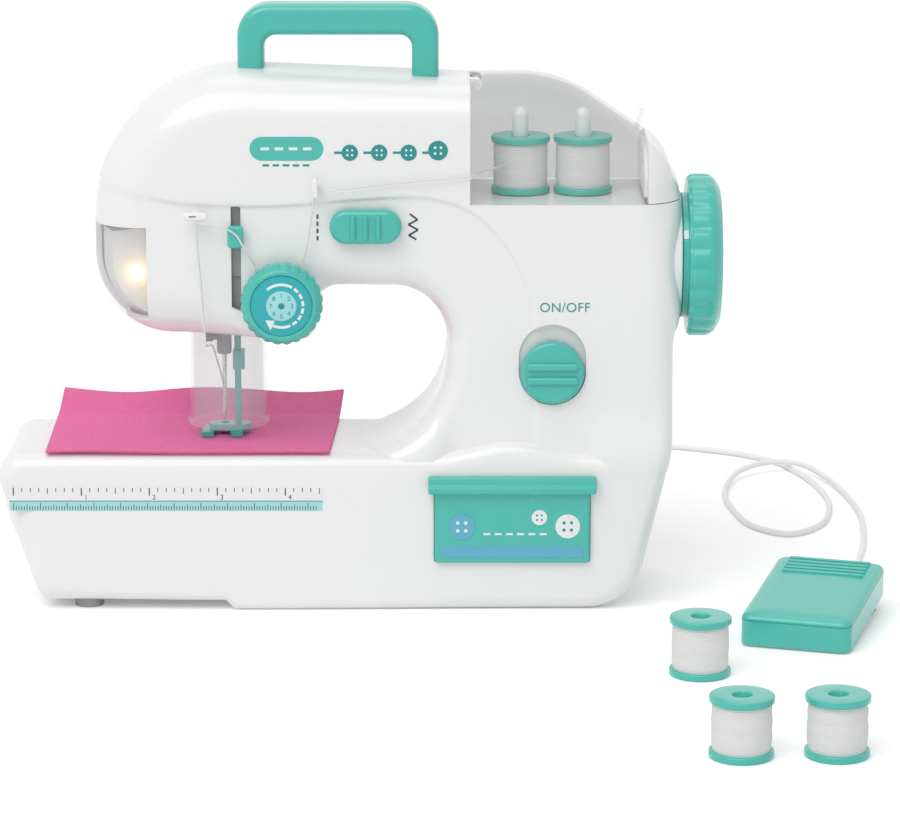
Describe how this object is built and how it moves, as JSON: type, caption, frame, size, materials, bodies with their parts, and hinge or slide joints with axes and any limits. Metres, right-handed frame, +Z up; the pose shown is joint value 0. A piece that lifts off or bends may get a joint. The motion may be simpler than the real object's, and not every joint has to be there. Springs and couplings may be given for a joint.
{
  "type": "toy sewing machine",
  "caption": "Toy sewing machine with carrying handle, handwheel, needle and presser foot, tension dial, drawer, spool bay with clear cover and a corded foot pedal.",
  "frame": {"origin": "on the table, under the middle of the machine's base", "axes": "+Z up, front of the machine towards -Y, handwheel towards +X"},
  "size_m": [0.338, 0.4431, 0.2253],
  "materials": {
    "white_plastic": "smooth, glossy",
    "teal_plastic": "smooth, glossy",
    "clear_plastic": "clear moulded plastic",
    "smoky_plastic": "smoky clear plastic",
    "pale_plastic": "plain moulded",
    "grey_plastic": "plain moulded",
    "gear_plastic": "natural moulded",
    "steel": "bright",
    "bush_brass": "turned",
    "belt_rubber": "matt",
    "cell_wrap": "plain wrap",
    "thread_white": "spun thread",
    "cloth_pink": "plain weave",
    "cord_white": "smooth",
    "led_clear": "clear, lit warm"
  },
  "bodies": {
    "machine": {"front_shell": "white_plastic", "rear_shell": "white_plastic", "handle": "teal_plastic", "needle_plate": "steel", "presser_spring": "steel", "needle_guard": "clear_plastic", "lamp_lens": "clear_plastic", "lamp_led": "led_clear", "thread_guides": "white_plastic", "tension_stud": "steel", "switch_body": "pale_plastic", "drawer_housing": "pale_plastic", "spool_tray": "white_plastic", "cover_pin": "steel", "shaft_bushes": "bush_brass", "motor": "steel", "gear_plate": "pale_plastic", "head_bracket": "pale_plastic", "drive_belt": "belt_rubber", "battery_tray": "pale_plastic", "batteries": "cell_wrap", "battery_door": "white_plastic", "cord_grommet": "cord_white", "pedal_cord": "cord_white", "pedal_base": "grey_plastic", "pedal_spring": "steel", "feet": "grey_plastic", "case_screws": "steel", "sample_cloth": "cloth_pink", "spool_thread": "thread_white", "needle_thread": "thread_white", "spare_reels": "teal_plastic", "spare_windings": "thread_white"},
    "drive": {"handwheel": "teal_plastic", "main_shaft": "steel", "crank_disc": "pale_plastic", "drive_gear": "gear_plastic", "upper_pulley": "pale_plastic"},
    "idler": {"idler_gear": "gear_plastic"},
    "rotor": {"motor_pinion": "gear_plastic"},
    "lower": {"lower_shaft": "steel", "lower_pulley": "pale_plastic", "looper": "steel"},
    "needle_carriage": {"needle_bar": "steel", "needle_clamp": "grey_plastic", "needle": "steel", "take_up_lever": "teal_plastic"},
    "presser": {"presser_bar": "teal_plastic", "presser_foot": "teal_plastic"},
    "feed": {"feed_dog": "steel"},
    "dial": {"tension_dial": "teal_plastic"},
    "selector": {"stitch_selector": "teal_plastic"},
    "button": {"power_button": "teal_plastic"},
    "drawer_box": {"drawer": "teal_plastic"},
    "left_spool": {"left_reel": "teal_plastic", "left_winding": "thread_white"},
    "right_spool": {"right_reel": "teal_plastic", "right_winding": "thread_white"},
    "cover": {"spool_cover": "smoky_plastic"},
    "treadle": {"pedal_treadle": "teal_plastic"}
  },
  "joints": [
    {"name": "handwheel_turn", "type": "hinge", "parent": "machine", "child": "drive", "pos_m": [0, 0, 0.13], "axis": [1, 0, 0], "continuous": true},
    {"name": "idler_turn", "type": "hinge", "parent": "machine", "child": "idler", "pos_m": [0.0935, 0, 0.104], "axis": [1, 0, 0], "continuous": true},
    {"name": "rotor_turn", "type": "hinge", "parent": "machine", "child": "rotor", "pos_m": [0.0935, 0, 0.088], "axis": [1, 0, 0], "continuous": true},
    {"name": "lower_shaft_turn", "type": "hinge", "parent": "machine", "child": "lower", "pos_m": [0, 0.008, 0.0525], "axis": [1, 0, 0], "continuous": true},
    {"name": "needle_slide", "type": "slide", "parent": "machine", "child": "needle_carriage", "axis": [0, 0, 1], "range_m": [-0.012, 0.006], "deforming": ["needle_thread"]},
    {"name": "presser_lift", "type": "slide", "parent": "machine", "child": "presser", "axis": [0, 0, 1], "range_m": [0, 0.005], "stiffness_N_per_m": 150, "springref_m": -0.006, "deforming": ["presser_spring"]},
    {"name": "feed_slide", "type": "slide", "parent": "machine", "child": "feed", "axis": [0, 1, 0], "range_m": [-0.002, 0.002]},
    {"name": "dial_turn", "type": "hinge", "parent": "machine", "child": "dial", "pos_m": [-0.019, -0.035, 0.1184], "axis": [0, -1, 0], "range_deg": [-150, 150]},
    {"name": "selector_slide", "type": "slide", "parent": "machine", "child": "selector", "axis": [1, 0, 0], "range_m": [-0.003, 0.003]},
    {"name": "button_slide", "type": "slide", "parent": "machine", "child": "button", "axis": [0, 0, 1], "range_m": [0, 0.0056]},
    {"name": "drawer_slide", "type": "slide", "parent": "machine", "child": "drawer_box", "axis": [0, -1, 0], "range_m": [0, 0.034]},
    {"name": "left_spool_turn", "type": "hinge", "parent": "machine", "child": "left_spool", "pos_m": [0.0694, 0, 0.154], "axis": [0, 0, 1], "continuous": true},
    {"name": "right_spool_turn", "type": "hinge", "parent": "machine", "child": "right_spool", "pos_m": [0.0928, 0, 0.154], "axis": [0, 0, 1], "continuous": true},
    {"name": "cover_hinge", "type": "hinge", "parent": "machine", "child": "cover", "pos_m": [0.0526, 0, 0.1962], "axis": [0, -1, 0], "range_deg": [0, 75]},
    {"name": "treadle_hinge", "type": "hinge", "parent": "machine", "child": "treadle", "pos_m": [0.17005, -0.07931, 0.0068], "axis": [-0.9563, 0.2924, 0], "range_deg": [0, 5], "stiffness_Nm_per_rad": 0.6, "springref_deg": -3.44, "deforming": ["pedal_spring"]}
  ],
  "couplings": [
    {"joint": "idler_turn", "follows": "handwheel_turn", "ratio": -1.6},
    {"joint": "rotor_turn", "follows": "handwheel_turn", "ratio": 2.6667},
    {"joint": "lower_shaft_turn", "follows": "handwheel_turn", "ratio": 1}
  ]
}
